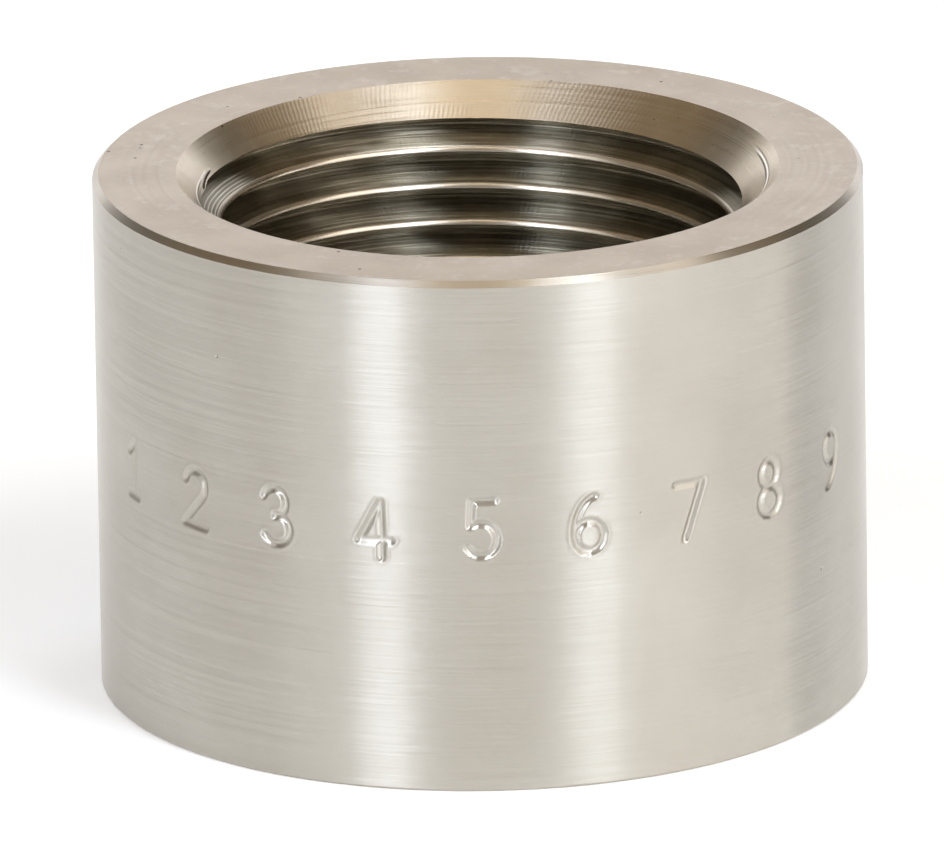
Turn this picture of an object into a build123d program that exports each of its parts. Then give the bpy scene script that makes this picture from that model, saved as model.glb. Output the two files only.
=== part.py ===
from build123d import *

import os
from math import atan, cos, degrees, radians, tan

# A stainless steel pipe coupling turned from one piece: an internal taper pipe
# thread opens at the top, and the plain end for welding is at the bottom.
# Millimetres, +Z up along the bore. The origin is the centre of the weld end,
# and depths are measured down from the threaded mouth.

# Barrel
outside_diameter = 44.45
length = 30.5
mouth_edge_break = 0.35
weld_edge_break = 0.15

# Right-hand taper pipe thread, nominal size 1 inch. The first size is the
# depth at which its root starts on the +X side.
pitch = 25.4 / 11.5
pitch_diameter = 31.461
taper_on_diameter = 1 / 16
flank_angle = 30
crest_flat = 0.15
first_root_depth = 0.73
full_turns = 7
runout_turns = 2

# Countersink at the mouth, a little wider than the thread's roots
countersink_clearance = 0.7
countersink_angle = 45

# Where the reamed cone of the crests narrows to the drilled bore
reamed_depth = 19.73

# How far a cutter reaches past the metal that it removes
cutter_overlap = 1.0
runout_overlap = 0.3

# The cones of the crests and of the roots shrink by the same taper
radial_taper = taper_on_diameter / 2
taper_angle = atan(radial_taper)
flank_slope = tan(radians(flank_angle))
sharp_height = pitch / 2 / flank_slope
crest_radius = pitch_diameter / 2 - sharp_height / 2 + crest_flat / 2 / flank_slope
root_radius = pitch_diameter / 2 + sharp_height / 2
thread_height = root_radius - crest_radius
outside_radius = outside_diameter / 2
bore_radius = crest_radius - reamed_depth * radial_taper
countersink_radius = root_radius + countersink_clearance
countersink_slope = tan(radians(countersink_angle))

# The full thread and its run-out meet here, on the +X side. Upwards the groove
# follows the taper and leaves through the mouth, downwards it grows shallow.
turns_above = 2
junction_depth = first_root_depth + full_turns * pitch
junction_radius = root_radius - junction_depth * radial_taper
junction_z = length - junction_depth
runout_drop = junction_radius - bore_radius + runout_overlap
runout_angle = atan(runout_drop / (runout_turns * pitch))

# The groove's section is a V. Just inside the crests its sides turn in, so
# that neighbouring turns of the cutter stay apart.
flank_overlap = crest_flat / 4 / flank_slope
half_mouth = (thread_height + flank_overlap) * flank_slope
inner_face = thread_height + flank_overlap + cutter_overlap / 2

with BuildPart() as thread_groove:
    with BuildLine() as thread_path:
        Helix(
            pitch=pitch / cos(taper_angle),
            height=(full_turns + turns_above) * pitch,
            radius=junction_radius,
            center=(0, 0, junction_z),
            cone_angle=degrees(taper_angle),
        )
    with BuildSketch(Plane.XZ) as groove_section:
        with BuildLine():
            Polyline(
                (junction_radius, junction_z),
                (junction_radius - thread_height - flank_overlap, junction_z + half_mouth),
                (junction_radius - inner_face, junction_z),
                (junction_radius - thread_height - flank_overlap, junction_z - half_mouth),
                close=True,
            )
        make_face()
    sweep(path=thread_path.line, is_frenet=True)

# A downward helix starts on -X, so its line is turned to meet the section
with BuildPart() as runout_groove:
    with BuildLine() as runout_path:
        Helix(
            pitch=pitch / cos(runout_angle),
            height=runout_turns * pitch,
            radius=junction_radius,
            center=(0, 0, junction_z),
            direction=(0, 0, -1),
            cone_angle=-degrees(runout_angle),
        )
    sweep(
        groove_section.sketch,
        path=runout_path.line.rotate(Axis.Z, 180),
        is_frenet=True,
    )

with BuildPart() as coupling_body:
    with BuildSketch():
        Circle(outside_radius)
    extrude(amount=length)
    rims = coupling_body.edges().filter_by(GeomType.CIRCLE).sort_by(Axis.Z)
    chamfer(rims[0], weld_edge_break)
    rims = coupling_body.edges().filter_by(GeomType.CIRCLE).sort_by(Axis.Z)
    chamfer(rims[-1], mouth_edge_break)
    add(thread_groove.part, mode=Mode.SUBTRACT)
    add(runout_groove.part, mode=Mode.SUBTRACT)
    # The drilled bore and the reamed cone of the crests
    with BuildSketch(Plane.XZ) as bore_section:
        with BuildLine():
            Polyline(
                (0, -cutter_overlap),
                (bore_radius, -cutter_overlap),
                (bore_radius, length - reamed_depth),
                (crest_radius + cutter_overlap * radial_taper, length + cutter_overlap),
                (0, length + cutter_overlap),
                close=True,
            )
        make_face()
    revolve(axis=Axis.Z, mode=Mode.SUBTRACT)
    # The countersink, through the first turn of the thread
    with BuildSketch(Plane.XZ) as countersink_section:
        with BuildLine():
            Polyline(
                (0, length + cutter_overlap),
                (countersink_radius + cutter_overlap * countersink_slope, length + cutter_overlap),
                (0, length - countersink_radius / countersink_slope),
                close=True,
            )
        make_face()
    revolve(axis=Axis.Z, mode=Mode.SUBTRACT)

coupling_body.part.label = "coupling_body"

os.makedirs("parts", exist_ok=True)
export_step(coupling_body.part, "parts/coupling_body.step")
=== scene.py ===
import logging
import math
from dataclasses import dataclass
from enum import Enum
from typing import Any

import bpy
import numpy as np
from mathutils import Matrix, Vector


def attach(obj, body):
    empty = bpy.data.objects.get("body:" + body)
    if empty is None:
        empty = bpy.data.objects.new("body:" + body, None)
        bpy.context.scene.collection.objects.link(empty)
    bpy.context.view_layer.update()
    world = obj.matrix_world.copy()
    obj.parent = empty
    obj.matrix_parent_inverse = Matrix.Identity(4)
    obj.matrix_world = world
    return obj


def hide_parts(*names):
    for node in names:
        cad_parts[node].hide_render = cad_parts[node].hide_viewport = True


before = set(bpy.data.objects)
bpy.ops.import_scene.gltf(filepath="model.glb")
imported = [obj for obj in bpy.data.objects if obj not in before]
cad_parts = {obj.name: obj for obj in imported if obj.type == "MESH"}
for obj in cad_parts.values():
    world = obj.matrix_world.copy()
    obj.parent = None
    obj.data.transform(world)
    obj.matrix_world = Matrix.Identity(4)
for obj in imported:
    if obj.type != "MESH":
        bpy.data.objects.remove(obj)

LOG = logging.getLogger("coupling")
MM = 0.001
TURN = 2 * math.pi


class Region(Enum):
    """The surfaces of the coupling that a maker finishes in different ways."""

    BARREL = 0
    MOUTH_FACE = 1
    EDGE_BREAK = 2
    COUNTERSINK = 3
    THREAD = 4
    THREAD_CREST = 5
    BORE = 6
    WELD_FACE = 7


class Facet(Enum):
    """Smooth runs of surface. Where two of them meet, the edge stays sharp."""

    WALL = 0
    COUNTERSINK = 1
    CREST = 2
    BORE = 3
    UPPER_FLANK = 4
    ROOT = 5
    LOWER_FLANK = 6
    MOUTH = 7
    MOUTH_BREAK = 8
    WELD_BREAK = 9
    WELD = 10
    WORN_EDGE = 11


REGION_OF_FACET = {
    Facet.WALL: Region.BARREL,
    Facet.COUNTERSINK: Region.COUNTERSINK,
    Facet.CREST: Region.THREAD_CREST,
    Facet.WORN_EDGE: Region.THREAD_CREST,
    Facet.BORE: Region.BORE,
    Facet.UPPER_FLANK: Region.THREAD,
    Facet.ROOT: Region.THREAD,
    Facet.LOWER_FLANK: Region.THREAD,
    Facet.MOUTH: Region.MOUTH_FACE,
    Facet.MOUTH_BREAK: Region.EDGE_BREAK,
    Facet.WELD_BREAK: Region.EDGE_BREAK,
    Facet.WELD: Region.WELD_FACE,
}


def linear_colour(code: str) -> tuple[float, float, float, float]:
    """Turn an sRGB hex colour into the linear colour that shaders use.

    Args:
        code: The colour as "#RRGGBB".

    Returns:
        Linear red, green and blue, and an alpha of 1.
    """
    parts = [int(code[i:i + 2], 16) / 255 for i in (1, 3, 5)]
    linear = [p / 12.92 if p <= 0.04045 else ((p + 0.055) / 1.055) ** 2.4 for p in parts]
    return linear[0], linear[1], linear[2], 1.0


def add_node(
    tree: bpy.types.NodeTree,
    kind: str,
    settings: dict[Any, Any] | None = None,
    links: dict[Any, bpy.types.NodeSocket] | None = None,
) -> bpy.types.Node:
    """Add one node, set its fields and sockets, and link its inputs.

    Args:
        tree: The node tree that gets the node.
        kind: Blender's name for the kind of node.
        settings: Values by socket number, socket name or field name.
        links: Output sockets of other nodes by input number or name.

    Returns:
        The new node.
    """
    node = tree.nodes.new(kind)
    for name, value in (settings or {}).items():
        if isinstance(name, int) or name in node.inputs:
            node.inputs[name].default_value = value
        else:
            setattr(node, name, value)
    for name, socket in (links or {}).items():
        tree.links.new(socket, node.inputs[name])
    return node


def lay_colour(
    tree: bpy.types.NodeTree, below: bpy.types.NodeSocket, code: str, share: bpy.types.NodeSocket
) -> bpy.types.NodeSocket:
    """Lay a colour over the colour below it by a share.

    Args:
        tree: The node tree.
        below: The colour below.
        code: The new colour as "#RRGGBB".
        share: How much of the new colour shows, from 0 to 1.

    Returns:
        The mixed colour.
    """
    return add_node(
        tree, "ShaderNodeMix", {"data_type": "RGBA", 7: linear_colour(code)}, {0: share, 6: below},
    ).outputs[2]


@dataclass(frozen=True)
class Patch:
    """A piece of surface: points in millimetres, triangles, and the facet of each."""

    points: np.ndarray
    triangles: np.ndarray
    facets: np.ndarray


def on_circle(angles: np.ndarray, radius: np.ndarray, z: np.ndarray) -> np.ndarray:
    """Place points round the axis: x = r cos a, y = r sin a, z = z."""
    angles, radius, z = np.broadcast_arrays(angles, radius, z)
    return np.stack([radius * np.cos(angles), radius * np.sin(angles), z], axis=-1)


def ring_to_ring(
    outer: np.ndarray, outer_angles: np.ndarray, inner: np.ndarray, inner_angles: np.ndarray,
    facet: Facet, up: bool,
) -> Patch:
    """Fill the flat band between two rings that have different point counts.

    The two rings are walked together by angle. Each step advances on the ring
    whose next point comes first and makes one triangle with the other ring.

    Args:
        outer: Points of the outer ring, by rising angle from 0.
        outer_angles: Their angles.
        inner: Points of the inner ring, by rising angle from 0.
        inner_angles: Their angles.
        facet: The facet of the band.
        up: True where the band faces up, False where it faces down.

    Returns:
        The band as a patch.
    """
    n, m = len(outer), len(inner)
    ends = np.concatenate([np.append(outer_angles[1:], TURN), np.append(inner_angles[1:], TURN)])
    moves_outer = np.argsort(ends, kind="stable") < n
    i = np.cumsum(moves_outer) - moves_outer
    j = np.cumsum(~moves_outer) - ~moves_outer
    ahead = np.where(moves_outer, (i + 1) % n, n + (j + 1) % m)
    triangles = np.stack([i % n, ahead, n + j % m], axis=-1)
    if not up:
        triangles = triangles[:, ::-1]
    return Patch(np.vstack([outer, inner]), triangles, np.full(n + m, facet.value))


def grid_triangles(columns: int, rows: int, other_way: np.ndarray | None = None) -> np.ndarray:
    """Split a grid of points into triangles, two to a cell.

    Args:
        columns: Number of columns of points. A point's number is column * rows + row.
        rows: Number of rows of points.
        other_way: For each cell, True where it is split from its second corner.

    Returns:
        Point numbers, three to a triangle, with the two of a cell one after the other.
    """
    column, row = np.meshgrid(np.arange(columns - 1), np.arange(rows - 1), indexing="ij")
    a = column * rows + row
    b = a + rows
    c = b + 1
    d = a + 1
    split = np.zeros(a.shape, bool) if other_way is None else other_way
    first = np.where(split[..., None], np.stack([a, b, d], -1), np.stack([a, b, c], -1))
    second = np.where(split[..., None], np.stack([b, c, d], -1), np.stack([a, c, d], -1))
    return np.stack([first, second], axis=2).reshape(-1, 3)


def ripple(angles: np.ndarray, waves: list[tuple[int, float, float]]) -> np.ndarray:
    """Sum of sines round the axis, each a count of waves, a height and a phase."""
    return sum(height * np.sin(count * angles + phase) for count, height, phase in waves)


@dataclass(frozen=True)
class PipeThread:
    """Right-hand internal taper pipe thread, with its countersink and its bore.

    Depths are millimetres down from the mouth, radii are from the axis.
    """

    pitch: float = 25.4 / 11.5
    pitch_diameter: float = 31.461
    radial_taper: float = 1 / 32
    flank_slope: float = math.tan(math.radians(30))
    crest_flat: float = 0.15
    root_flat: float = 0.12
    worn_edge: float = 0.12
    first_root_depth: float = 0.73
    full_turns: int = 7
    runout_turns: float = 2.0
    runout_overlap: float = 0.3
    countersink_radius: float = 17.383
    bore_radius: float = 14.2875
    helix_bottom: float = 21.6
    columns: int = 320
    flank_steps: int = 5

    @property
    def crest_radius(self) -> float:
        """Radius of the crests at the mouth."""
        sharp = self.pitch / 2 / self.flank_slope
        return self.pitch_diameter / 2 - sharp / 2 + self.crest_flat / 2 / self.flank_slope

    @property
    def root_radius(self) -> float:
        """Radius of the roots at the mouth."""
        sharp = self.pitch / 2 / self.flank_slope
        return self.pitch_diameter / 2 + sharp / 2 - self.root_flat / 2 / self.flank_slope

    def across(self, angles: np.ndarray, depth: np.ndarray) -> np.ndarray:
        """How far a point lies below the nearest root, from minus to plus half a pitch."""
        along = depth - self.first_root_depth + self.pitch * angles / TURN
        return (along + self.pitch / 2) % self.pitch - self.pitch / 2

    def root_at(self, depth: np.ndarray) -> np.ndarray:
        """Radius of a root at a depth: the taper, and below the full turns the run-out."""
        full = self.first_root_depth + self.full_turns * self.pitch
        run = self.runout_turns * self.pitch
        drop = self.root_radius - full * self.radial_taper - self.bore_radius + self.runout_overlap
        below = np.maximum(depth - full, 0)
        return self.root_radius - np.minimum(depth, full) * self.radial_taper - below * drop / run

    def surfaces(self, angles: np.ndarray, depth: np.ndarray) -> np.ndarray:
        """Radius that each cutter leaves at a point; the widest one is the real surface.

        Args:
            angles: Angles round the axis.
            depth: Depths down from the mouth.

        Returns:
            Radii of the countersink, the reamed cone, the drilled bore and the groove.
        """
        across = self.across(angles, depth)
        wall = np.maximum(np.abs(across) - self.root_flat / 2, 0) / self.flank_slope
        return np.stack([
            self.countersink_radius - depth,
            self.crest_radius - depth * self.radial_taper,
            np.full_like(depth, self.bore_radius),
            self.root_at(depth - across) - wall,
        ])

    def rows(self) -> np.ndarray:
        """Depths at angle 0 of the rows, which follow the helix and hit every thread edge."""
        half_root = self.root_flat / 2
        edge = self.pitch / 2 - self.crest_flat / 2
        flank = np.append(np.linspace(half_root, edge - self.worn_edge, self.flank_steps), edge)
        one = np.concatenate([-flank[::-1], flank])
        turns = np.arange(-1, int(self.helix_bottom / self.pitch) + 3)
        depth = (self.first_root_depth + turns[:, None] * self.pitch + one).ravel()
        return depth

    def build(self, length: float) -> tuple[Patch, np.ndarray, np.ndarray]:
        """Make the inside of the coupling from the mouth to the weld end.

        The rows of the grid climb with the helix, one pitch in a turn, and are
        held between the mouth and the drilled bore, so that the last column is
        the first one moved by the rows of one pitch. In every column the point
        nearest to a meeting of two surfaces is moved onto it, and cells are
        split along such points, which gives clean edges between the
        countersink, the flanks and the bore.

        Args:
            length: Length of the coupling.

        Returns:
            The patch, and the rings of points at the mouth and at the weld end.
        """
        start = self.rows()
        per_pitch = 2 * (self.flank_steps + 1)
        angles = np.linspace(0, TURN, self.columns + 1)[:-1]
        depth = start[None, :] - self.pitch * angles[:, None] / TURN
        depth = np.clip(depth, 0, self.helix_bottom)
        around = np.broadcast_to(angles[:, None], depth.shape)
        depth, on_edge = self.meet(around, depth)
        radius = self.surfaces(around, depth).max(axis=0)
        radius, depth = self.burrs(around, depth, radius, on_edge)
        points = on_circle(around, radius, length - depth)
        closing = np.concatenate([np.repeat(points[:1, :1], per_pitch, 1), points[:1, :-per_pitch]], 1)
        edge_closing = np.concatenate([np.zeros((1, per_pitch), bool), on_edge[:1, :-per_pitch]], 1)
        grid = np.concatenate([points, closing])
        edges = np.concatenate([on_edge, edge_closing])
        other_way = edges[1:, :-1] & edges[:-1, 1:] & ~(edges[:-1, :-1] & edges[1:, 1:])
        triangles = grid_triangles(self.columns + 1, len(start), other_way)
        flat = grid.reshape(-1, 3)
        centres = flat[triangles].mean(axis=1)
        facets = self.facets(np.arctan2(centres[:, 1], centres[:, 0]) % TURN, length - centres[:, 2])
        mouth = on_circle(angles, self.countersink_radius, length)
        lower = on_circle(angles, self.bore_radius, length - self.helix_bottom)
        weld = on_circle(angles, self.bore_radius, 0.0)
        strip = np.stack([np.vstack([lower, lower[:1]]), np.vstack([weld, weld[:1]])], axis=1)
        strip_triangles = grid_triangles(self.columns + 1, 2) + len(flat)
        patch = Patch(
            np.vstack([flat, strip.reshape(-1, 3)]),
            np.vstack([triangles, strip_triangles]),
            np.concatenate([facets, np.full(len(strip_triangles), Facet.BORE.value)]),
        )
        return patch, mouth, weld

    def meet(self, angles: np.ndarray, depth: np.ndarray) -> tuple[np.ndarray, np.ndarray]:
        """Move points of each column onto the places where two surfaces meet.

        Args:
            angles: Angle of every point of the grid.
            depth: Its depth.

        Returns:
            The new depths, and which points were moved onto a meeting.
        """
        values = self.surfaces(angles, depth)
        widest = values.argmax(axis=0)
        here, below = widest[:, :-1], widest[:, 1:]
        pick = np.take_along_axis
        gap_here = (pick(values[:, :, :-1], here[None], 0) - pick(values[:, :, :-1], below[None], 0))[0]
        gap_below = (pick(values[:, :, 1:], below[None], 0) - pick(values[:, :, 1:], here[None], 0))[0]
        share = gap_here / np.maximum(gap_here + gap_below, 1e-9)
        change = (here != below) & (depth[:, 1:] - depth[:, :-1] > 1e-6)
        meeting = depth[:, :-1] + share * (depth[:, 1:] - depth[:, :-1])
        column, row = np.nonzero(change)
        target = row + (share[column, row] >= 0.5)
        moved = depth.copy()
        moved[column, target] = meeting[column, row]
        on_edge = np.zeros(depth.shape, bool)
        on_edge[column, target] = True
        return moved, on_edge

    def facets(self, angles: np.ndarray, depth: np.ndarray) -> np.ndarray:
        """Name the facet that each point of the inside lies on."""
        widest = self.surfaces(angles, depth).argmax(axis=0)
        across = self.across(angles, depth)
        worn = across > self.pitch / 2 - self.crest_flat / 2 - self.worn_edge
        flank = np.where(across < 0, Facet.UPPER_FLANK.value, Facet.LOWER_FLANK.value)
        flank = np.where(worn, Facet.WORN_EDGE.value, flank)
        groove = np.where(np.abs(across) < self.root_flat / 2, Facet.ROOT.value, flank)
        plain = np.array([Facet.COUNTERSINK.value, Facet.CREST.value, Facet.BORE.value])
        return np.where(widest == 3, groove, plain[np.minimum(widest, 2)])

    def burrs(
        self, angles: np.ndarray, depth: np.ndarray, radius: np.ndarray, on_edge: np.ndarray
    ) -> tuple[np.ndarray, np.ndarray]:
        """Roughen the countersink's lower edge with small burrs that stand into the bore.

        Args:
            angles: Angle of every point.
            depth: Its depth.
            radius: Its radius.
            on_edge: Which points lie where two surfaces meet.

        Returns:
            The new radii and depths.
        """
        def bell(middle: float, spread: float) -> np.ndarray:
            """Fall from 1 at an angle to 0 on both sides of it, all in degrees."""
            away = (angles - math.radians(middle) + math.pi) % TURN - math.pi
            return np.exp(-(away / math.radians(spread)) ** 2)

        near = on_edge & (depth > 0.9) & (depth < 3.0)
        crumbs = ripple(angles, [(97, 0.4, 0.3), (61, 0.35, 1.1), (139, 0.3, 2.0), (17, 0.4, 0.6)])
        size = near * np.clip(crumbs - 0.45, 0, 1) * (0.04 + 0.1 * bell(137, 20))
        curl = near * 0.14 * bell(175, 3.5)
        first_cut = on_edge & (depth < 1.3) & (self.across(angles, depth) < 0)
        ridge = first_cut * 0.09 * bell(-8, 22)
        lift = size + curl + ridge
        return radius - lift, depth + (size + curl) * 0.4 - ridge * 0.5


@dataclass(frozen=True)
class StampedScale:
    """Plain counting digits, punched one by one into the barrel at an even pitch."""

    digits: str = "123456789"
    step_angle: float = math.radians(16)
    front_angle: float = math.radians(270)
    middle: float = 15.7
    height: float = 3.3
    width: float = 2.0
    half_stroke: float = 0.27
    depth: float = 0.17
    lip: float = 0.022
    margin: float = 0.75
    cell: float = 0.11

    def shapes(self) -> dict[str, list[np.ndarray]]:
        """Single-stroke digits in a box one wide and one high, as runs of points."""
        line = lambda *p: np.array(p, float)  # noqa: E731

        def bow(x: float, y: float, rx: float, ry: float, start: float, end: float) -> np.ndarray:
            """Points on an ellipse between two angles in degrees."""
            a = np.radians(np.linspace(start, end, 13))
            return np.stack([x + rx * np.cos(a), y + ry * np.sin(a)], axis=-1)

        return {
            "1": [line((0.22, 0.78), (0.52, 1.0), (0.52, 0.0)), line((0.25, 0.0), (0.8, 0.0))],
            "2": [np.vstack([bow(0.48, 0.72, 0.42, 0.28, 165, -35), line((0.05, 0.0), (0.95, 0.0))])],
            "3": [bow(0.44, 0.75, 0.38, 0.25, 155, -90), bow(0.44, 0.26, 0.46, 0.26, 90, -155)],
            "4": [line((0.7, 0.0), (0.7, 1.0), (0.04, 0.3), (0.98, 0.3))],
            "5": [np.vstack([line((0.86, 1.0), (0.2, 1.0), (0.14, 0.55)),
                             bow(0.44, 0.3, 0.46, 0.3, 118, -150)])],
            "6": [bow(0.5, 0.28, 0.42, 0.28, 0, 360), bow(0.85, 0.3, 0.77, 0.7, 180, 100)],
            "7": [line((0.04, 1.0), (0.94, 1.0), (0.36, 0.0))],
            "8": [bow(0.5, 0.76, 0.34, 0.24, 0, 360), bow(0.5, 0.26, 0.42, 0.26, 0, 360)],
            "9": [bow(0.5, 0.72, 0.42, 0.28, 0, 360), bow(0.15, 0.7, 0.77, 0.7, 0, -80)],
        }

    def centres(self) -> np.ndarray:
        """Angles of the digits' middles, even on both sides of the front."""
        place = np.arange(len(self.digits)) - (len(self.digits) - 1) / 2
        return self.front_angle + place * self.step_angle

    def segments(self, radius: float) -> tuple[np.ndarray, np.ndarray, np.ndarray]:
        """Lay all strokes out on the unrolled barrel.

        A hand-held punch leans and lands a little off each time, so each digit
        gets a small turn, shift and change of depth from a fixed seed.

        Args:
            radius: Radius of the barrel.

        Returns:
            Start points, end points and depth shares of all straight runs.
        """
        shapes = self.shapes()
        chance = np.random.default_rng(11)
        starts, ends, shares = [], [], []
        for digit, centre in zip(self.digits, self.centres()):
            lean = math.radians(chance.uniform(-3.5, 3.5))
            shift = chance.uniform(-0.16, 0.16, 2)
            press = chance.uniform(0.75, 1.1)
            turn = np.array([[math.cos(lean), math.sin(lean)], [-math.sin(lean), math.cos(lean)]])
            for run in shapes[digit]:
                flat = (run - 0.5) * (self.width, self.height) @ turn + shift
                flat = flat + (centre * radius, self.middle)
                starts.append(flat[:-1])
                ends.append(flat[1:])
                shares.append(np.full(len(flat) - 1, press))
        return np.vstack(starts), np.vstack(ends), np.concatenate(shares)

    def relief(self, around: np.ndarray, z: np.ndarray, radius: float) -> np.ndarray:
        """Depth of the punched strokes at points of the barrel, with the lips they raise.

        A stroke's section is a round-bottomed V: its depth falls with the
        square of the distance from its line. A thin lip stands where it ends.

        Args:
            around: Angles of the points.
            z: Their heights.
            radius: Radius of the barrel.

        Returns:
            Change of radius at each point.
        """
        start, end, share = self.segments(radius)
        point = np.stack([around * radius, z], axis=-1)[..., None, :]
        run = end - start
        along = ((point - start) * run).sum(-1) / (run ** 2).sum(-1)
        foot = start + np.clip(along, 0, 1)[..., None] * run
        away = np.sqrt(((point - foot) ** 2).sum(-1))
        ratio = np.clip(away / self.half_stroke, 0, 1)
        dent = (share * (1 - ratio ** 2) ** 1.2).max(axis=-1) * self.depth
        nearest = away.min(axis=-1)
        lip = self.lip * np.exp(-((nearest - self.half_stroke * 1.15) / (self.half_stroke * 0.4)) ** 2)
        return lip * (nearest > self.half_stroke * 0.7) - dent

    def columns(self, radius: float, coarse: float) -> np.ndarray:
        """Angles of the barrel's columns: fine across each digit, coarse elsewhere.

        Args:
            radius: Radius of the barrel.
            coarse: Angle between the coarse columns.

        Returns:
            Rising angles from 0.
        """
        half = (self.width / 2 + self.margin) / radius
        fine = math.ceil(2 * half * radius / self.cell)
        spans = [np.linspace(c - half, c + half, fine + 1) for c in self.centres()]
        bare = np.arange(0, TURN, coarse)
        clear = np.abs(bare[:, None] - self.centres()).min(axis=1) > half + coarse / 3
        return np.sort(np.concatenate([bare[clear | (bare == 0)], *spans]))

    def rows(self, low: float, high: float) -> np.ndarray:
        """Heights of the barrel's rows: fine across the digits, coarse elsewhere."""
        half = self.height / 2 + self.margin
        bottom, top = self.middle - half, self.middle + half
        fine = math.ceil(2 * half / self.cell)
        return np.concatenate([
            np.linspace(low, bottom, 7)[:-1],
            np.linspace(bottom, top, fine + 1)[:-1],
            np.linspace(top, high, 7),
        ])


@dataclass(frozen=True)
class PaintedLightArc:
    """A thin line of painted highlight or painted shade that runs round the axis, along a burred lip.

    Its line is z = height + lead * (angle - middle) / turn. Angles are degrees
    from +X, sizes are millimetres. A mark with a rise is raised by that much.
    """

    middle: float
    half_angle: float
    height: float
    half_width: float
    colour: str
    share: float = 1.0
    lead: float = 0.0
    rise: float = 0.0


@dataclass(frozen=True)
class SteelFinish:
    """How one surface of the stainless steel was cut, and what that gives the eye.

    The line pitch is the spacing of the tool's feed lines, which run round the
    axis. The chatter pitch is the spacing of marks that run down the surface.
    """

    name: str
    base: str
    stain: str
    stain_size: float = 9.0
    stain_share: float = 0.5
    roughness: float = 0.4
    roughness_spread: float = 0.08
    anisotropy: float = 0.8
    line_pitch: float = 0.16
    line_length: float = 14.0
    line_height: float = 0.0025
    line_contrast: float = 0.2
    line_lead: float = 0.0
    sway: float = 0.0
    sway_length: float = 5.0
    chatter_pitch: float = 0.0
    chatter_height: float = 0.0
    chatter_slant: float = 0.0
    chatter_patch: float = 4.0
    chatter_jitter: float = 3.0
    chatter_start: float = 0.42
    grain_size: float = 0.25
    grain_height: float = 0.0
    pits: tuple[tuple[float, float, float], ...] = ()
    ridge: float = 0.0
    ridge_above: float = 0.3
    frost: str = ""
    frost_size: float = 2.2
    frost_share: float = 0.5
    speck_cell: float = 0.0
    speck_colour: str = "#4A443C"
    marks: tuple[PaintedLightArc, ...] = ()
    cone_slope: float = 0.0

    def material(self) -> bpy.types.Material:
        """Build the finish from its sizes.

        Feed lines are noise that is fine across the axis and long round it.
        They set the bump and a little of the roughness. Stains are soft noise
        between the base colour and the stain colour.

        Returns:
            The new material.
        """
        material = bpy.data.materials.new(self.name)
        material.use_nodes = True
        tree = material.node_tree
        tree.nodes.clear()
        place = add_node(tree, "ShaderNodeTexCoord").outputs["Object"]
        parts = add_node(tree, "ShaderNodeSeparateXYZ", links={0: place}).outputs
        lines = self.lines(tree, place, parts, self.line_pitch, self.line_length)
        tangent = add_node(
            tree, "ShaderNodeTangent", {"direction_type": "RADIAL", "axis": "Z"}).outputs[0]
        normal = add_node(tree, "ShaderNodeNewGeometry").outputs["Normal"]
        if self.cone_slope:
            turned = self.toward_axis(tree, place, self.cone_slope)
            normal = add_node(
                tree, "ShaderNodeVectorMath", {"operation": "NORMALIZE"}, {0: turned}).outputs[0]
        if self.sway:
            normal = self.swayed(tree, place, parts, tangent, normal)
        if self.ridge:
            normal = self.ridged(tree, place, lines, normal)
        normal = self.bump(tree, lines, self.line_height, normal)
        if self.chatter_height:
            normal = self.bump(tree, self.chatter(tree, place, parts), self.chatter_height, normal)
        if self.grain_height:
            grain = add_node(
                tree, "ShaderNodeTexNoise",
                {"Scale": 1 / (self.grain_size * MM), "Detail": 2.0}, {"Vector": place},
            ).outputs["Fac"]
            normal = self.bump(tree, grain, self.grain_height, normal)
        if self.pits:
            normal = self.bump(tree, self.pit_field(tree, place), 0.06, normal)
        patchy = add_node(
            tree, "ShaderNodeTexNoise",
            {"Scale": 1 / (self.stain_size * MM), "Detail": 4.0, "Roughness": 0.6}, {"Vector": place},
        ).outputs["Fac"]
        stained = add_node(
            tree, "ShaderNodeMapRange",
            {"From Min": 0.35, "From Max": 0.7, "To Min": 0.0, "To Max": self.stain_share},
            {"Value": patchy},
        ).outputs[0]
        lined = add_node(
            tree, "ShaderNodeMapRange",
            {"From Min": 0.7, "From Max": 0.3, "To Min": 0.0, "To Max": self.line_contrast},
            {"Value": lines},
        ).outputs[0]
        share = add_node(
            tree, "ShaderNodeMath", {"operation": "ADD", "use_clamp": True}, {0: stained, 1: lined})
        colour = add_node(
            tree, "ShaderNodeMix",
            {"data_type": "RGBA", 6: linear_colour(self.base), 7: linear_colour(self.stain)},
            {0: share.outputs[0]},
        ).outputs[2]
        if self.frost:
            colour = lay_colour(tree, colour, self.frost, self.frosted(tree, place))
        if self.speck_cell:
            colour = lay_colour(tree, colour, self.speck_colour, self.specks(tree, place))
        # Each arc lays a painted highlight or painted shade line over the colour; one with a rise is also
        # bumped as a real raised lip.
        for mark in self.marks:
            painted_light_share = self.mark(tree, place, parts, mark)
            colour = lay_colour(tree, colour, mark.colour, painted_light_share)
            if mark.rise:
                normal = self.bump(tree, painted_light_share, mark.rise, normal)
        rough = add_node(
            tree, "ShaderNodeMapRange",
            {"From Min": 0.3, "From Max": 0.7, "To Min": self.roughness - self.roughness_spread / 2,
             "To Max": self.roughness + self.roughness_spread / 2}, {"Value": lines},
        ).outputs[0]
        shader = add_node(
            tree, "ShaderNodeBsdfPrincipled",
            {"Metallic": 1.0, "Anisotropic": self.anisotropy, "Anisotropic Rotation": 0.25},
            {"Base Color": colour, "Roughness": rough, "Normal": normal, "Tangent": tangent},
        )
        add_node(tree, "ShaderNodeOutputMaterial", links={"Surface": shader.outputs[0]})
        return material

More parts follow.
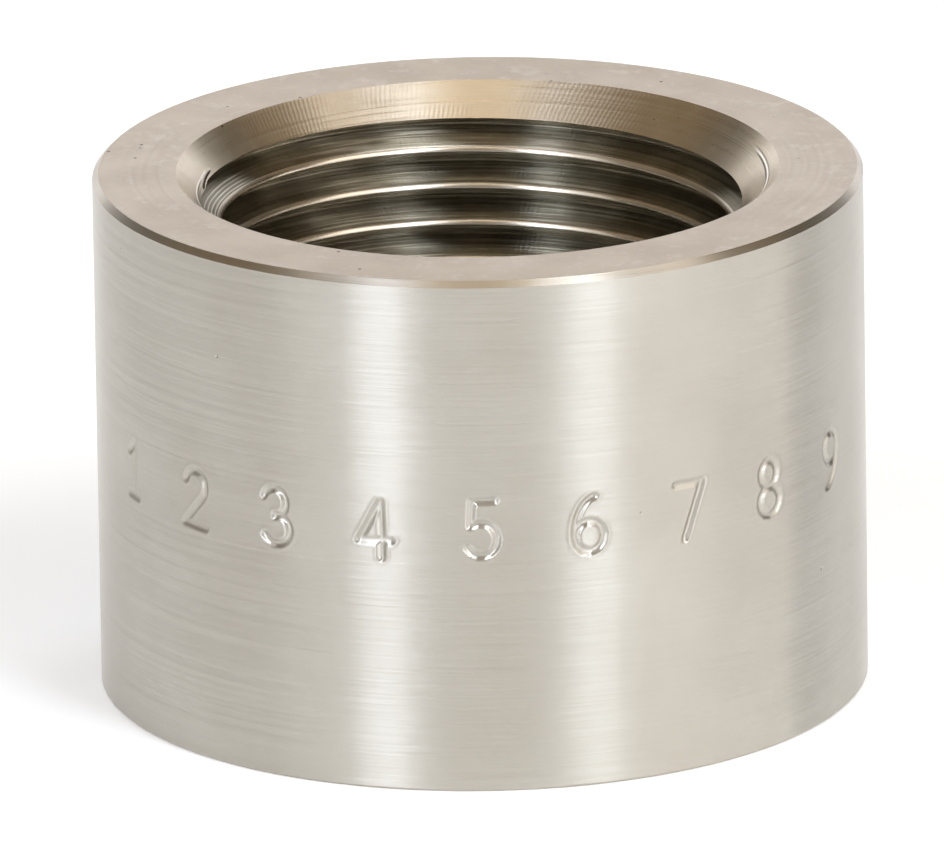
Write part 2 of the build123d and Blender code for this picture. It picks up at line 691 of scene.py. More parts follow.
    def lines(
        self, tree: bpy.types.NodeTree, place: bpy.types.NodeSocket,
        parts: bpy.types.bpy_prop_collection, pitch: float, length: float,
    ) -> bpy.types.NodeSocket:
        """Tool lines: noise over (radius, height) / pitch that drifts slowly round the axis.

        With a lead, the height is taken along a right-hand helix, so that the
        lines follow the thread. The helix starts anew at the front of the bore.

        Args:
            tree: The material's nodes.
            place: The point on the object.
            parts: Its x, y and z.
            pitch: Spacing of the lines in millimetres.
            length: How far a line runs round the axis before it changes.

        Returns:
            The height of the lines from 0 to 1.
        """
        flat = add_node(tree, "ShaderNodeVectorMath", {"operation": "MULTIPLY", 1: (1, 1, 0)}, {0: place})
        radius = add_node(tree, "ShaderNodeVectorMath", {"operation": "LENGTH"}, {0: flat.outputs[0]})
        height = parts[2]
        if self.line_lead:
            angle = add_node(
                tree, "ShaderNodeMath", {"operation": "ARCTAN2"}, {0: parts[0], 1: parts[1]})
            height = add_node(
                tree, "ShaderNodeMath", {"operation": "MULTIPLY_ADD", 1: self.line_lead * MM / TURN},
                {0: angle.outputs[0], 2: height},
            ).outputs[0]
        across = add_node(
            tree, "ShaderNodeCombineXYZ", links={0: radius.outputs["Value"], 1: height})
        scaled = add_node(
            tree, "ShaderNodeVectorMath", {"operation": "SCALE", "Scale": 1 / pitch},
            {0: across.outputs[0]},
        )
        drift = add_node(
            tree, "ShaderNodeVectorMath",
            {"operation": "DOT_PRODUCT", 1: (1 / length, 0.6 / length, 0)}, {0: place},
        )
        lifted = add_node(tree, "ShaderNodeCombineXYZ", links={2: drift.outputs["Value"]})
        lathe = add_node(tree, "ShaderNodeVectorMath", {"operation": "ADD"},
                         {0: scaled.outputs[0], 1: lifted.outputs[0]})
        return add_node(
            tree, "ShaderNodeTexNoise",
            {"Scale": 1 / MM, "Detail": 2.0, "Roughness": 0.6}, {"Vector": lathe.outputs[0]},
        ).outputs["Fac"]

    def leaned(
        self, tree: bpy.types.NodeTree, normal: bpy.types.NodeSocket,
        toward: bpy.types.NodeSocket, amount: bpy.types.NodeSocket,
    ) -> bpy.types.NodeSocket:
        """Lean a normal: normal' = normal + amount * toward, made one long.

        Args:
            tree: The material's nodes.
            normal: The normal to lean.
            toward: The direction that it leans to.
            amount: How far it leans.

        Returns:
            The leaned normal.
        """
        aside = add_node(
            tree, "ShaderNodeVectorMath", {"operation": "SCALE"}, {0: toward, "Scale": amount})
        tilted = add_node(
            tree, "ShaderNodeVectorMath", {"operation": "ADD"}, {0: normal, 1: aside.outputs[0]})
        return add_node(
            tree, "ShaderNodeVectorMath", {"operation": "NORMALIZE"}, {0: tilted.outputs[0]}).outputs[0]

    def swayed(
        self, tree: bpy.types.NodeTree, place: bpy.types.NodeSocket,
        parts: bpy.types.bpy_prop_collection, tangent: bpy.types.NodeSocket,
        normal: bpy.types.NodeSocket,
    ) -> bpy.types.NodeSocket:
        """Turn the normal a little to and fro round the axis, in lines of their own.

        The normal leans along the tangent by sway * (noise - 1/2). It combs the
        edges of every reflection as a lathe tool's small jumps do.

        Args:
            tree: The material's nodes.
            place: The point on the object.
            parts: Its x, y and z.
            tangent: The direction round the axis.
            normal: The normal to turn.

        Returns:
            The turned normal.
        """
        wave = self.lines(tree, place, parts, self.line_pitch * 1.3, self.sway_length)
        centred = add_node(
            tree, "ShaderNodeMath", {"operation": "MULTIPLY_ADD", 1: self.sway, 2: -self.sway / 2},
            {0: wave},
        )
        return self.leaned(tree, normal, tangent, centred.outputs[0])

    def ridged(
        self, tree: bpy.types.NodeTree, place: bpy.types.NodeSocket,
        lines: bpy.types.NodeSocket, normal: bpy.types.NodeSocket,
    ) -> bpy.types.NodeSocket:
        """Give the highest tool lines a rubbed top that looks at the axis and a little up.

        There the normal leans that way by the ridge's size, and by less where
        the flank looks up, which the tap rubs less.

        Args:
            tree: The material's nodes.
            place: The point on the object.
            lines: The height of the tool lines.
            normal: The normal to lean.

        Returns:
            The leaned normal.
        """
        top = add_node(
            tree, "ShaderNodeMapRange",
            {"interpolation_type": "SMOOTHSTEP", "From Min": 0.5, "From Max": 0.62,
             "To Max": self.ridge}, {"Value": lines},
        ).outputs[0]
        looks_up = add_node(tree, "ShaderNodeSeparateXYZ", links={0: normal}).outputs[2]
        rubbed = add_node(
            tree, "ShaderNodeMapRange",
            {"From Min": -0.5, "From Max": 0.5, "To Min": 1.0, "To Max": self.ridge_above},
            {"Value": looks_up},
        ).outputs[0]
        amount = add_node(tree, "ShaderNodeMath", {"operation": "MULTIPLY"}, {0: top, 1: rubbed})
        toward = self.toward_axis(tree, place, 0.55)
        return self.leaned(tree, normal, toward, amount.outputs[0])

    def toward_axis(
        self, tree: bpy.types.NodeTree, place: bpy.types.NodeSocket, rise: float
    ) -> bpy.types.NodeSocket:
        """Direction to the axis with a rise: (-x, -y, 0) / |(x, y)| + (0, 0, rise).

        A cone that is turned on the axis has this direction as its normal, so
        it is taken from here where a cone has to be free of its mesh's facets.

        Args:
            tree: The material's nodes.
            place: The point on the object.
            rise: How far it climbs for one step to the axis.

        Returns:
            The direction, longer than one.
        """
        flat = add_node(
            tree, "ShaderNodeVectorMath", {"operation": "MULTIPLY", 1: (-1, -1, 0)}, {0: place})
        inward = add_node(
            tree, "ShaderNodeVectorMath", {"operation": "NORMALIZE"}, {0: flat.outputs[0]})
        return add_node(
            tree, "ShaderNodeVectorMath", {"operation": "ADD", 1: (0, 0, rise)},
            {0: inward.outputs[0]},
        ).outputs[0]

    def frosted(
        self, tree: bpy.types.NodeTree, place: bpy.types.NodeSocket
    ) -> bpy.types.NodeSocket:
        """Share of pale frosting: the high parts of a ragged noise."""
        ragged = add_node(
            tree, "ShaderNodeTexNoise",
            {"Scale": 1 / (self.frost_size * MM), "Detail": 6.0, "Roughness": 0.7}, {"Vector": place},
        ).outputs["Fac"]
        return add_node(
            tree, "ShaderNodeMapRange",
            {"From Min": 0.52, "From Max": 0.68, "To Max": self.frost_share}, {"Value": ragged},
        ).outputs[0]

    def specks(
        self, tree: bpy.types.NodeTree, place: bpy.types.NodeSocket
    ) -> bpy.types.NodeSocket:
        """Share of small dark specks: the middles of some of the cells of a Voronoi pattern."""
        cells = add_node(
            tree, "ShaderNodeTexVoronoi", {"Scale": 1 / (self.speck_cell * MM)}, {"Vector": place}).outputs
        near = add_node(
            tree, "ShaderNodeMapRange", {"From Min": 0.08, "From Max": 0.04},
            {"Value": cells["Distance"]},
        ).outputs[0]
        chance = add_node(tree, "ShaderNodeSeparateXYZ", links={0: cells["Color"]}).outputs[0]
        chosen = add_node(
            tree, "ShaderNodeMath", {"operation": "GREATER_THAN", 1: 0.55}, {0: chance}).outputs[0]
        return add_node(
            tree, "ShaderNodeMath", {"operation": "MULTIPLY"}, {0: near, 1: chosen}).outputs[0]

    def mark(
        self, tree: bpy.types.NodeTree, place: bpy.types.NodeSocket,
        parts: bpy.types.bpy_prop_collection, mark: PaintedLightArc,
    ) -> bpy.types.NodeSocket:
        """Share of one painted highlight or painted shade line: its full share on its line, 0 beyond its
        width and its ends.

        Args:
            tree: The material's nodes.
            place: The point on the object.
            parts: Its x, y and z.
            mark: The mark.

        Returns:
            The share.
        """
        a = math.radians(mark.middle)
        ahead = add_node(
            tree, "ShaderNodeVectorMath",
            {"operation": "DOT_PRODUCT", 1: (math.cos(a), math.sin(a), 0)}, {0: place}).outputs["Value"]
        aside = add_node(
            tree, "ShaderNodeVectorMath",
            {"operation": "DOT_PRODUCT", 1: (-math.sin(a), math.cos(a), 0)}, {0: place}).outputs["Value"]
        angle = add_node(
            tree, "ShaderNodeMath", {"operation": "ARCTAN2"}, {0: aside, 1: ahead}).outputs[0]
        away = add_node(tree, "ShaderNodeMath", {"operation": "ABSOLUTE"}, {0: angle}).outputs[0]
        half = math.radians(mark.half_angle)
        ends = add_node(
            tree, "ShaderNodeMapRange",
            {"interpolation_type": "SMOOTHSTEP", "From Min": half, "From Max": half * 0.6,
             "To Max": mark.share}, {"Value": away},
        ).outputs[0]
        level = add_node(
            tree, "ShaderNodeMath", {"operation": "MULTIPLY_ADD", 1: -mark.lead * MM / TURN},
            {0: angle, 2: parts[2]},
        ).outputs[0]
        off = add_node(
            tree, "ShaderNodeMath", {"operation": "SUBTRACT", 1: mark.height * MM}, {0: level})
        off = add_node(tree, "ShaderNodeMath", {"operation": "ABSOLUTE"}, {0: off.outputs[0]})
        line = add_node(
            tree, "ShaderNodeMapRange",
            {"interpolation_type": "SMOOTHSTEP", "From Min": mark.half_width * MM, "From Max": 0.0},
            {"Value": off.outputs[0]},
        ).outputs[0]
        return add_node(
            tree, "ShaderNodeMath", {"operation": "MULTIPLY"}, {0: ends, 1: line}).outputs[0]

    def bump(
        self, tree: bpy.types.NodeTree, height: bpy.types.NodeSocket, size: float,
        below: bpy.types.NodeSocket,
    ) -> bpy.types.NodeSocket:
        """Add a bump of a real height in millimetres on top of another bump.

        Args:
            tree: The material's nodes.
            height: The height from 0 to 1.
            size: What a height of 1 stands for, in millimetres.
            below: The normal that it is laid on.

        Returns:
            The bumped normal.
        """
        return add_node(
            tree, "ShaderNodeBump", {"Strength": 1.0, "Distance": size * MM},
            {"Height": height, "Normal": below},
        ).outputs[0]

    def chatter(
        self, tree: bpy.types.NodeTree, place: bpy.types.NodeSocket,
        parts: bpy.types.bpy_prop_collection,
    ) -> bpy.types.NodeSocket:
        """Marks that run down the surface, in patches.

        The height is a wave of the angle, which slants with z and is shifted by
        a soft noise, times another noise that comes and goes over a few
        millimetres.

        Args:
            tree: The material's nodes.
            place: The point on the object.
            parts: Its x, y and z.

        Returns:
            The height of the marks.
        """
        angle = add_node(tree, "ShaderNodeMath", {"operation": "ARCTAN2"}, {0: parts[0], 1: parts[1]})
        waves = TURN / self.chatter_pitch
        jitter = add_node(
            tree, "ShaderNodeTexNoise", {"Scale": 0.5 / (self.chatter_pitch * MM), "Detail": 0.0},
            {"Vector": place},
        ).outputs["Fac"]
        shifted = add_node(
            tree, "ShaderNodeMath", {"operation": "MULTIPLY", 1: self.chatter_jitter}, {0: jitter})
        turns = add_node(
            tree, "ShaderNodeMath", {"operation": "MULTIPLY_ADD", 1: 16.2 * waves},
            {0: angle.outputs[0], 2: shifted.outputs[0]},
        )
        slant = add_node(
            tree, "ShaderNodeMath", {"operation": "MULTIPLY_ADD", 1: self.chatter_slant * waves / MM},
            {0: parts[2], 2: turns.outputs[0]},
        )
        wave = add_node(tree, "ShaderNodeMath", {"operation": "SINE"}, {0: slant.outputs[0]})
        marks = add_node(
            tree, "ShaderNodeMath", {"operation": "MULTIPLY_ADD", 1: 0.5, 2: 0.5}, {0: wave.outputs[0]},
        ).outputs[0]
        patch = add_node(
            tree, "ShaderNodeTexNoise",
            {"Scale": 1 / (self.chatter_patch * MM), "Detail": 1.0}, {"Vector": place},
        ).outputs["Fac"]
        present = add_node(
            tree, "ShaderNodeMapRange",
            {"interpolation_type": "SMOOTHSTEP", "From Min": self.chatter_start,
             "From Max": self.chatter_start + 0.18}, {"Value": patch},
        ).outputs[0]
        return add_node(
            tree, "ShaderNodeMath", {"operation": "MULTIPLY"}, {0: marks, 1: present}).outputs[0]

    def pit_field(
        self, tree: bpy.types.NodeTree, place: bpy.types.NodeSocket
    ) -> bpy.types.NodeSocket:
        """Round pits: the height falls from 1 to 0 inside each pit's radius.

        Args:
            tree: The material's nodes.
            place: The point on the object.

        Returns:
            The product of all pits' heights.
        """
        total = None
        for angle, z, size in self.pits:
            a = math.radians(angle)
            centre = (22.225 * MM * math.cos(a), 22.225 * MM * math.sin(a), z * MM)
            away = add_node(
                tree, "ShaderNodeVectorMath", {"operation": "DISTANCE", 1: centre}, {0: place})
            height = add_node(
                tree, "ShaderNodeMapRange",
                {"interpolation_type": "SMOOTHSTEP", "From Min": 0.0, "From Max": size * MM},
                {"Value": away.outputs["Value"]},
            ).outputs[0]
            if total is None:
                total = height
            else:
                total = add_node(
                    tree, "ShaderNodeMath", {"operation": "MULTIPLY"}, {0: total, 1: height}).outputs[0]
        return total


# Stainless steel, turned on a lathe with a fine feed: long lines round the
# barrel smear every reflection up and down and leave it narrow from side to side.
# The real feed of about 0.1 mm is too fine to show, so its lines are drawn 0.22 mm
# apart.
TURNED_BARREL = SteelFinish(
    name="turned_stainless_steel_barrel", base="#CBC7BD", stain="#BCB6AB",
    roughness=0.34, roughness_spread=0.06, anisotropy=1.0, line_pitch=0.22, line_length=16.0,
    line_height=0.016, line_contrast=0.2, sway=0.06, sway_length=5.0,
    grain_size=1.6, grain_height=0.003,
    pits=((227.4, 24.5, 0.13), (202.4, 28.6, 0.09), (192.4, 24.7, 0.08), (331.0, 9.4, 0.16),
          (342.0, 9.6, 0.15), (294.0, 16.0, 0.1)),
)
# Stainless steel, faced across the end: satin, with faint blotches of dried coolant.
FACED_END = SteelFinish(
    name="faced_stainless_steel_end", base="#D2C8B8", stain="#BEB0A2",
    roughness=0.42, anisotropy=0.25, line_pitch=0.2, line_length=10.0, line_height=0.002,
    grain_size=0.5, grain_height=0.004, stain_size=3.0, stain_share=0.7,
    frost="#EFE8DC", frost_size=1.5, frost_share=0.4, speck_cell=1.6,
)
# The small broken edge, cut in one pass, so it is smoother and darker.
BROKEN_EDGE = SteelFinish(
    name="broken_edge_stainless_steel", base="#C9C3B8", stain="#B5AB9C",
    roughness=0.3, anisotropy=0.8, line_pitch=0.1, line_height=0.002,
)
# The countersink is cut by a form tool that warms the steel to a straw tint and
# chatters, which leaves fine marks down its slope.
STRAW_COUNTERSINK = SteelFinish(
    name="countersunk_stainless_steel", base="#DACFBC", stain="#BDAD96",
    roughness=0.3, anisotropy=0.6, line_pitch=0.16, line_height=0.0015,
    chatter_pitch=0.28, chatter_height=0.0038, chatter_slant=-0.3, chatter_jitter=2.0,
    chatter_start=0.25, cone_slope=1.0,
    stain_size=4.0, grain_size=0.6, grain_height=0.003, frost="#EFEADF", frost_share=0.2,
    speck_cell=1.2,
    # Its marks are painted highlights (the near-white lines) and painted shade (the dark lines) along
    # burred lips, near the thread's first cut and near the curl at 175 degrees; three of them are also
    # raised a little.
    marks=(
        PaintedLightArc(-1.0, 19.0, 29.79, 0.11, "#FFFDF6", 1.0, 25.4 / 11.5, 0.05),
        PaintedLightArc(0.0, 21.0, 29.91, 0.06, "#4E483E", 0.9, 25.4 / 11.5),
        PaintedLightArc(186.0, 17.0, 29.3, 0.07, "#FFFDF6", 0.8, 0.5, 0.03),
        PaintedLightArc(186.0, 17.0, 29.16, 0.06, "#6B6458", 0.7, 0.5),
        PaintedLightArc(170.0, 7.0, 29.15, 0.09, "#4A433B", 1.0, -4.0, 0.06),
        PaintedLightArc(171.0, 6.0, 29.28, 0.06, "#FFFDF6", 0.8, -4.0),
    ),
)
# Flanks cut by a tap, bright where bare and brown where cutting oil has dried. The
# tap's real tears are 0.05 mm wide, too fine to show, and are drawn 0.18 mm wide.
TAPPED_THREAD = SteelFinish(
    name="tapped_stainless_steel_thread", base="#A8A190", stain="#716955",
    roughness=0.3, roughness_spread=0.06, anisotropy=1.0, line_pitch=0.18, line_length=8.0,
    line_height=0.015, line_contrast=0.5, line_lead=25.4 / 11.5,
    chatter_pitch=0.3, chatter_height=0.002, chatter_patch=2.5,
    grain_size=0.4, grain_height=0.002, stain_size=3.0, stain_share=0.5, ridge=3.0,
    ridge_above=0.12,
    # The five pale lines near 168 degrees are painted highlights on the flanks, each also raised a little.
    marks=tuple(
        PaintedLightArc(168.0, 20.0, 27.62 + 0.12 * n, 0.045, "#F4F0E6", 0.9, 25.4 / 11.5, 0.02)
        for n in range(5)
    ),
)
# The crests are reamed and rubbed by the tap, which rounds and burnishes them, so
# each one draws a thin pale line.
BURNISHED_CREST = SteelFinish(
    name="burnished_stainless_steel_crest", base="#D8D0C2", stain="#B9AC98",
    roughness=0.28, anisotropy=0.6, line_pitch=0.14, line_height=0.002,
    line_lead=25.4 / 11.5, stain_size=3.0,
)
# Drilled steel below the thread: coarser lines and more dried oil.
DRILLED_BORE = SteelFinish(
    name="drilled_stainless_steel_bore", base="#948B7D", stain="#6A6054",
    roughness=0.4, anisotropy=0.8, line_pitch=0.25, line_height=0.015, stain_share=0.6,
)
FINISHES = {
    Region.BARREL: TURNED_BARREL,
    Region.MOUTH_FACE: FACED_END,
    Region.EDGE_BREAK: BROKEN_EDGE,
    Region.COUNTERSINK: STRAW_COUNTERSINK,
    Region.THREAD: TAPPED_THREAD,
    Region.THREAD_CREST: BURNISHED_CREST,
    Region.BORE: DRILLED_BORE,
    Region.WELD_FACE: FACED_END,
}


@dataclass(frozen=True)
class Coupling:
    """The whole coupling: a turned barrel, two faces and the threaded way through it."""

    outside_radius: float = 22.225
    length: float = 30.5
    mouth_break: float = 0.35
    weld_break: float = 0.15
    coarse_column: float = math.radians(1.5)
    thread: PipeThread = PipeThread()
    scale: StampedScale = StampedScale()

    def outside(self) -> tuple[Patch, np.ndarray, np.ndarray, np.ndarray]:
        """Make the barrel with its stamped digits and its two broken edges.

        The barrel is r = R + relief(angle, z) on a grid. Each broken edge is
        one more row of points, moved in by the size of the break.

        Returns:
            The patch, the columns' angles, and the rings at the mouth and the weld end.
        """
        angles = self.scale.columns(self.outside_radius, self.coarse_column)
        z = self.scale.rows(self.weld_break, self.length - self.mouth_break)
        around, up = np.meshgrid(angles, z, indexing="ij")
        half = self.scale.height / 2 + self.scale.margin
        relief = np.zeros(around.shape)
        band = np.abs(z - self.scale.middle) < half - 0.01
        relief[:, band] = self.scale.relief(around[:, band], up[:, band], self.outside_radius)
        wall = on_circle(around, self.outside_radius + relief, up)
        bottom = on_circle(angles, self.outside_radius - self.weld_break, 0.0)
        top = on_circle(angles, self.outside_radius - self.mouth_break, self.length)
        grid = np.concatenate([bottom[:, None], wall, top[:, None]], axis=1)
        grid = np.concatenate([grid, grid[:1]])
        triangles = grid_triangles(*grid.shape[:2])
        row = np.arange(len(triangles)) // 2 % (grid.shape[1] - 1)
        facets = np.full(len(triangles), Facet.WALL.value)
        facets[row == 0] = Facet.WELD_BREAK.value
        facets[row == grid.shape[1] - 2] = Facet.MOUTH_BREAK.value
        return Patch(grid.reshape(-1, 3), triangles, facets), angles, top, bottom

    def build(self) -> bpy.types.Object:
        """Join the outside, the inside and the two end faces into one closed piece."""
        outer, outer_angles, outer_mouth, outer_weld = self.outside()
        inner, inner_mouth, inner_weld = self.thread.build(self.length)
        inner_angles = np.linspace(0, TURN, self.thread.columns + 1)[:-1]
        mouth = ring_to_ring(outer_mouth, outer_angles, inner_mouth, inner_angles, Facet.MOUTH, True)
        weld = ring_to_ring(outer_weld, outer_angles, inner_weld, inner_angles, Facet.WELD, False)
        piece = self.mesh_object("turned_coupling", [outer, inner, mouth, weld])
        for region in Region:
            piece.data.materials.append(FINISHES[region].material())
        return piece

    def mesh_object(self, name: str, patches: list[Patch]) -> bpy.types.Object:
        """Weld patches along their shared points and put them into one mesh.

        Points that agree to a tenth of a micrometre become one. Triangles that
        have lost a corner by that are dropped. An edge between two facets is
        marked sharp.

        Args:
            name: Name of the new object.
            patches: The patches, which share their border points.

        Returns:
            The object, in metres, linked to the scene.
        """
        offsets = np.cumsum([0] + [len(p.points) for p in patches[:-1]])
        points = np.vstack([p.points for p in patches])
        triangles = np.vstack([p.triangles + o for p, o in zip(patches, offsets)])
        facets = np.concatenate([p.facets for p in patches])
        _, first, number = np.unique(
            np.round(points * 1e4).astype(np.int64), axis=0, return_index=True, return_inverse=True)
        triangles = number.reshape(-1)[triangles]
        points = points[first]
        a, b, c = triangles.T
        whole = (a != b) & (b != c) & (a != c)
        triangles, facets = triangles[whole], facets[whole]
        mesh = bpy.data.meshes.new(name)
        mesh.vertices.add(len(points))
        mesh.vertices.foreach_set("co", (points * MM).astype(np.float32).ravel())
        mesh.loops.add(triangles.size)
        mesh.loops.foreach_set("vertex_index", triangles.astype(np.int32).ravel())
        mesh.polygons.add(len(triangles))
        mesh.polygons.foreach_set("loop_start", np.arange(0, triangles.size, 3, dtype=np.int32))
        slot_of = np.array([REGION_OF_FACET[f].value for f in Facet], np.int32)
        mesh.polygons.foreach_set("material_index", slot_of[facets])
        mesh.update(calc_edges=True)
        self.mark_sharp(mesh, triangles, facets)
        piece = bpy.data.objects.new(name, mesh)
        bpy.context.scene.collection.objects.link(piece)
        return piece

    def mark_sharp(self, mesh: bpy.types.Mesh, triangles: np.ndarray, facets: np.ndarray) -> None:
        """Mark the edges whose two triangles lie on different facets as sharp.

        The worn edge of a crest runs into the crest in a small round.

        Args:
            mesh: The mesh, with its edges made.
            triangles: Its triangles.
            facets: The facet of each.
        """
        count = len(mesh.vertices)
        sides = triangles[:, [0, 1, 1, 2, 2, 0]].reshape(-1, 2)
        keys = sides.min(axis=1).astype(np.int64) * count + sides.max(axis=1)
        order = np.argsort(keys, kind="stable")
        pair = keys[order].reshape(-1, 2)
        assert (pair[:, 0] == pair[:, 1]).all(), "the coupling's surface is not closed"
        shaded_as = np.arange(len(Facet))
        shaded_as[Facet.WORN_EDGE.value] = Facet.CREST.value
        of = np.repeat(shaded_as[facets], 3)[order].reshape(-1, 2)
        sharp_keys = pair[of[:, 0] != of[:, 1], 0]
        ends = np.empty(len(mesh.edges) * 2, np.int32)
        mesh.edges.foreach_get("vertices", ends)
        ends = ends.reshape(-1, 2)
        edge_keys = ends.min(axis=1).astype(np.int64) * count + ends.max(axis=1)
        sharp = mesh.attributes.new("sharp_edge", "BOOLEAN", "EDGE")
        sharp.data.foreach_set("value", np.isin(edge_keys, sharp_keys))


@dataclass(frozen=True)
class Softbox:
    """A soft lamp. Azimuth 0 is the camera's side and 90 the right; the look is its brightness."""

    name: str
    azimuth: float
    elevation: float
    distance: float
    width: float
    height: float
    brightness: float
    colour: str = "#FFFFFF"
    shape: str = "RECTANGLE"

    def build(self, target: Vector) -> bpy.types.Object:
        """Hang the lamp round the target and turn it to it.

        A brightness of 1 is as bright as a white card. Blender spreads an area
        lamp's power so that four watts per square metre give that.

        Args:
            target: The point that it lights.

        Returns:
            The lamp.
        """
        a, e = math.radians(self.azimuth), math.radians(self.elevation)
        out = Vector((math.sin(a) * math.cos(e), -math.cos(a) * math.cos(e), math.sin(e)))
        lamp = bpy.data.lights.new(self.name, "AREA")
        lamp.shape = self.shape
        lamp.size, lamp.size_y = self.width, self.height
        area = self.width * self.height * (math.pi / 4 if self.shape == "ELLIPSE" else 1)
        lamp.energy = 4 * area * self.brightness
        lamp.color = linear_colour(self.colour)[:3]
        piece = bpy.data.objects.new(self.name, lamp)
        piece.location = target + out * self.distance
        piece.rotation_mode = "QUATERNION"
        piece.rotation_quaternion = out.to_track_quat("Z", "Y")
        piece.visible_camera = False
        bpy.context.scene.collection.objects.link(piece)
        return piece


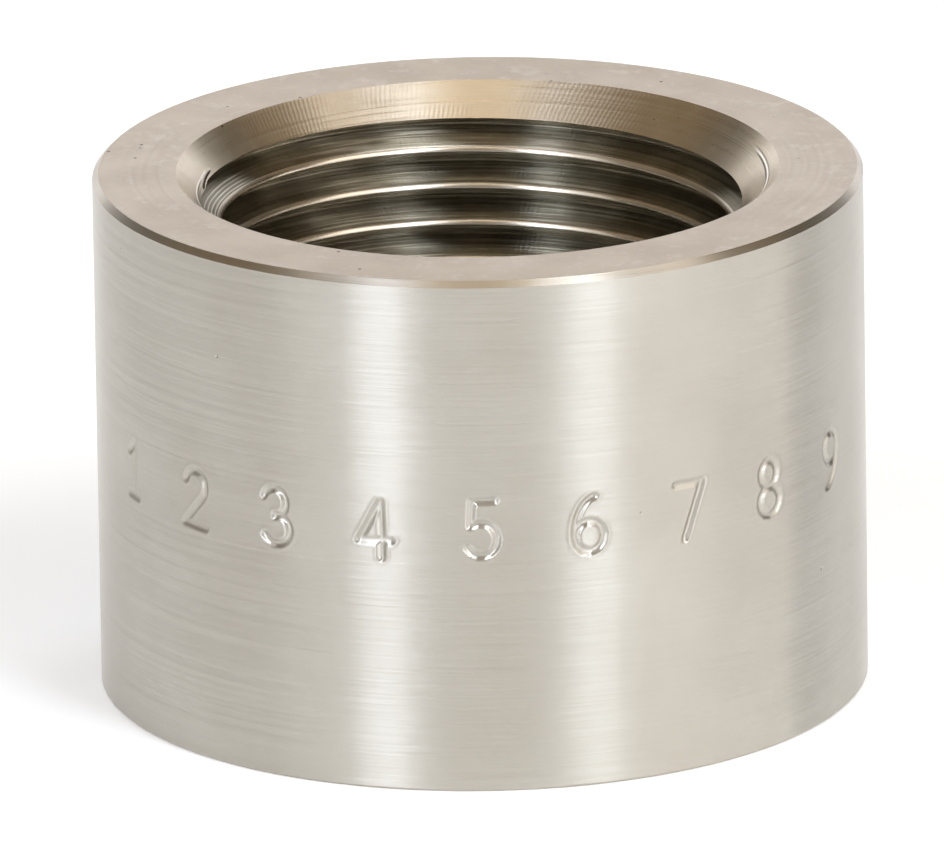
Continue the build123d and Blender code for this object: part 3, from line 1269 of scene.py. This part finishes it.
@dataclass(frozen=True)
class Studio:
    """Camera, lamps, world and floor, all plain."""

    elevation: float = math.radians(17.706)
    roll: float = math.radians(-0.834)
    distance: float = 1.4876
    lens: float = 981.4
    centre_height: float = 15.25
    aside: float = 0.531
    below: float = 0.180
    floor_size: float = 8.0
    floor_colour: str = "#F8F9FA"
    floor_glow: float = 0.22
    eye_level: str = "#FFFFFF"
    eye_level_behind: str = "#101010"
    wall_above: str = "#6A665E"
    doorway: float = 113.0
    ceiling: str = "#8F7E67"
    lamps: tuple[Softbox, ...] = (
        Softbox("strip_left", -31.5, 37, 1.0, 0.225, 0.62, 6.2, "#E4EEFF"),
        Softbox("strip_right", 36.5, 41, 1.0, 0.25, 0.72, 5.7, "#ECF4FF"),
        Softbox("halo_left", -50, 38, 1.0, 0.45, 0.7, 0.85, "#F8FBFF"),
        Softbox("halo_right", 64, 36, 1.0, 0.6, 0.7, 1.6, "#FFFAF6"),
        Softbox("side_right", 91, 12, 1.0, 0.4, 0.24, 1.1, "#FFF8F2"),
        Softbox("high_left", -150.8, 70, 1.0, 0.16, 0.3, 2.6, "#E8F0FF"),
        Softbox("high_right", 145.5, 70, 1.0, 0.18, 0.3, 5.0, "#ECF4FF"),
        Softbox("top_panel", 0, 71, 1.0, 0.45, 0.16, 1.6, "#FFEFD5"),
        Softbox("back_wall", 180, 17, 1.2, 1.55, 0.7, 0.84, "#FBFBFF"),
        Softbox("front_fill", 0, 10, 1.2, 1.2, 0.35, 0.5),
    )

    def camera(self) -> bpy.types.Object:
        """Place the camera as the photograph's perspective and tilt say.

        The view is turned by the small roll, and the aim is moved sideways and
        down so that the coupling stands where it does in the frame.
        """
        right = Vector((1, 0, 0))
        ahead = Vector((0, math.cos(self.elevation), -math.sin(self.elevation)))
        up = Vector((0, math.sin(self.elevation), math.cos(self.elevation)))
        turned_right = right * math.cos(self.roll) + up * math.sin(self.roll)
        turned_up = up * math.cos(self.roll) - right * math.sin(self.roll)
        centre = Vector((0, 0, self.centre_height * MM))
        aim = centre - turned_right * self.aside * MM - turned_up * self.below * MM
        data = bpy.data.cameras.new("camera")
        data.sensor_width = 36.0
        data.lens = self.lens
        data.clip_start, data.clip_end = 0.05, 30.0
        piece = bpy.data.objects.new("camera", data)
        axes = Matrix((turned_right, turned_up, -ahead)).transposed()
        piece.matrix_world = Matrix.Translation(aim - ahead * self.distance) @ axes.to_4x4()
        bpy.context.scene.collection.objects.link(piece)
        bpy.context.scene.camera = piece
        return piece

    def world(self) -> None:
        """A room that is white at eye level in front and dim elsewhere.

        With (x, y, z) the direction and y its way to the back, the share of the
        dim wall behind is max(0, y / |(x, y)|) squared. Two smooth steps of z
        lead from there to the wall above and on to the ceiling. A dark doorway
        in the walls is a smooth step of the cosine of the angle to its middle.
        """
        world = bpy.data.worlds.new("studio")
        bpy.context.scene.world = world
        world.use_nodes = True
        tree = world.node_tree
        tree.nodes.clear()
        toward = add_node(tree, "ShaderNodeTexCoord").outputs["Generated"]
        up = add_node(tree, "ShaderNodeSeparateXYZ", links={0: toward}).outputs[2]
        flat = add_node(tree, "ShaderNodeVectorMath", {"operation": "MULTIPLY", 1: (1, 1, 0)}, {0: toward})
        heading = add_node(tree, "ShaderNodeVectorMath", {"operation": "NORMALIZE"}, {0: flat.outputs[0]})
        back = add_node(tree, "ShaderNodeSeparateXYZ", links={0: heading.outputs[0]}).outputs[1]
        behind = add_node(tree, "ShaderNodeMath", {"operation": "MAXIMUM", 1: 0.0}, {0: back}).outputs[0]
        share = add_node(
            tree, "ShaderNodeMath", {"operation": "MULTIPLY"}, {0: behind, 1: behind}).outputs[0]
        room = add_node(
            tree, "ShaderNodeMix",
            {"data_type": "RGBA", 6: linear_colour(self.eye_level),
             7: linear_colour(self.eye_level_behind)}, {0: share},
        ).outputs[2]
        a = math.radians(self.doorway)
        along = add_node(
            tree, "ShaderNodeVectorMath", {"operation": "DOT_PRODUCT", 1: (math.sin(a), -math.cos(a), 0)},
            {0: heading.outputs[0]},
        ).outputs["Value"]
        layers = (
            (self.wall_above, up, 0.11, 0.23),
            ("#000000", along, 0.98, 0.996),
            (self.ceiling, up, 0.49, 0.61),
        )
        for colour, value, low, high in layers:
            share = add_node(
                tree, "ShaderNodeMapRange",
                {"interpolation_type": "SMOOTHSTEP", "From Min": low, "From Max": high}, {"Value": value},
            ).outputs[0]
            room = lay_colour(tree, room, colour, share)
        path = add_node(tree, "ShaderNodeLightPath").outputs["Is Camera Ray"]
        colour = add_node(
            tree, "ShaderNodeMix", {"data_type": "RGBA", 7: (1.0, 1.0, 1.0, 1.0)}, {0: path, 6: room},
        ).outputs[2]
        glow = add_node(tree, "ShaderNodeBackground", {"Strength": 1.0}, {"Color": colour})
        add_node(tree, "ShaderNodeOutputWorld", links={"Surface": glow.outputs[0]})

    def floor(self) -> bpy.types.Object:
        """A matt white paper floor, lifted towards white for camera rays and for reflections."""
        half = self.floor_size / 2
        corners = np.array([(-half, -half), (half, -half), (half, half), (-half, half)])
        points = np.column_stack([corners, np.full(4, -0.02 * MM)])
        mesh = bpy.data.meshes.new("paper_floor")
        mesh.from_pydata(points.tolist(), [], [(0, 1, 2, 3)])
        piece = bpy.data.objects.new("paper_floor", mesh)
        bpy.context.scene.collection.objects.link(piece)
        material = bpy.data.materials.new("white_paper")
        material.use_nodes = True
        tree = material.node_tree
        tree.nodes.clear()
        paper = add_node(tree, "ShaderNodeBsdfDiffuse", {"Color": linear_colour(self.floor_colour)})
        path = add_node(tree, "ShaderNodeLightPath").outputs
        seen = add_node(tree, "ShaderNodeMath", {"operation": "MAXIMUM"},
                        {0: path["Is Camera Ray"], 1: path["Is Glossy Ray"]})
        strength = add_node(
            tree, "ShaderNodeMath", {"operation": "MULTIPLY", 1: self.floor_glow}, {0: seen.outputs[0]})
        glow = add_node(tree, "ShaderNodeEmission", {}, {"Strength": strength.outputs[0]})
        both = add_node(tree, "ShaderNodeAddShader", links={0: paper.outputs[0], 1: glow.outputs[0]})
        add_node(tree, "ShaderNodeOutputMaterial", links={"Surface": both.outputs[0]})
        mesh.materials.append(material)
        return piece

    def build(self) -> None:
        """Set up the camera, the world, the floor and the lamps."""
        self.camera()
        self.world()
        self.floor()
        target = Vector((0, 0, self.centre_height * MM))
        for lamp in self.lamps:
            lamp.build(target)
        bpy.context.scene.view_settings.view_transform = "Standard"


def main() -> None:
    """Build the studio and the coupling in order, and report the coupling's points and triangles."""
    logging.basicConfig(level=logging.INFO, format="%(name)s: %(message)s")
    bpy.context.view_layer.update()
    Studio().build()
    piece = Coupling().build()
    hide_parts("coupling_body")
    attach(piece, "root")
    LOG.info("%s: %d points, %d triangles", piece.name, len(piece.data.vertices), len(piece.data.polygons))


if __name__ == "__main__":
    main()
